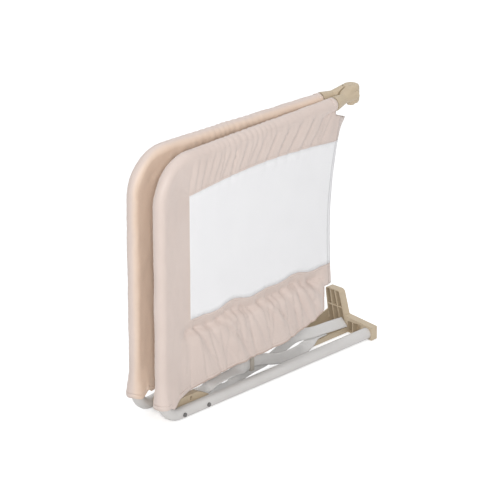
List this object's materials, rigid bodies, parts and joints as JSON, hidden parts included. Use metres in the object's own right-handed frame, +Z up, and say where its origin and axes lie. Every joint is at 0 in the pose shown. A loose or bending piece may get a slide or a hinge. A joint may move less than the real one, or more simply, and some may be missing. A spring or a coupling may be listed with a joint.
{
  "type": "folding bed guard rail",
  "caption": "Bed guard rail folded in half at its top hinge, with a mesh-windowed cloth cover and swing-out legs carrying a strap anchor.",
  "frame": {"origin": "middle of the bounding box, on the floor", "axes": "+X from the end posts to the fold hinge, +Z up, -Y the outer face of the front half"},
  "size_m": [0.5642, 0.192, 0.506],
  "materials": {
    "paint": "satin off-white powder coat",
    "plastic": "matte beige moulding",
    "cloth": "woven, gathered, pale pink beige",
    "netting": "fine white mesh",
    "webbing": "flat woven webbing",
    "steel": "satin"
  },
  "bodies": {
    "front_half": {"front_rail_tube": "paint", "front_sleeve": "cloth", "front_cover_panel": "cloth", "front_mesh_window": "netting", "front_hinge_rivet": "steel", "front_hinge_shell": "plastic", "hinge_pin": "steel", "fold_top_cloth": "cloth", "fold_mesh": "netting", "fold_foot_cloth": "cloth"},
    "release_button": {"release_button": "plastic"},
    "rear_half": {"rear_rail_tube": "paint", "rear_sleeve": "cloth", "rear_cover_panel": "cloth", "rear_mesh_window": "netting", "rear_hinge_rivet": "steel", "rear_hinge_shell": "plastic"},
    "front_leg": {"front_leg_tube": "paint", "front_leg_spigot": "steel", "front_leg_plug": "plastic", "front_strap_bracket": "plastic", "front_bracket_screw_1": "steel", "front_bracket_screw_2": "steel", "anchor_plate": "plastic", "low_strap": "webbing", "high_strap": "webbing", "strap_slider": "plastic"},
    "rear_leg": {"rear_leg_tube": "paint", "rear_leg_spigot": "steel", "rear_leg_plug": "plastic", "rear_strap_bracket": "plastic", "rear_bracket_screw_1": "steel", "rear_bracket_screw_2": "steel"}
  },
  "joints": [
    {"name": "fold_hinge", "type": "hinge", "parent": "front_half", "child": "rear_half", "pos_m": [0.23503, -0.04922, 0.487], "axis": [0, 0, -1], "range_deg": [0, 175.7]},
    {"name": "front_leg_swing", "type": "hinge", "parent": "front_half", "child": "front_leg", "pos_m": [-0.26906, -0.08298, 0.11], "axis": [0, 0, -1], "range_deg": [0, 90]},
    {"name": "rear_leg_swing", "type": "hinge", "parent": "rear_half", "child": "rear_leg", "pos_m": [-0.26906, -0.01546, 0.11], "axis": [0, 0, 1], "range_deg": [0, 77.3]},
    {"name": "button_press", "type": "slide", "parent": "front_half", "child": "release_button", "axis": [0, 0, 1], "range_m": [0, 0.003], "stiffness_N_per_m": 150, "springref_m": -0.001}
  ]
}
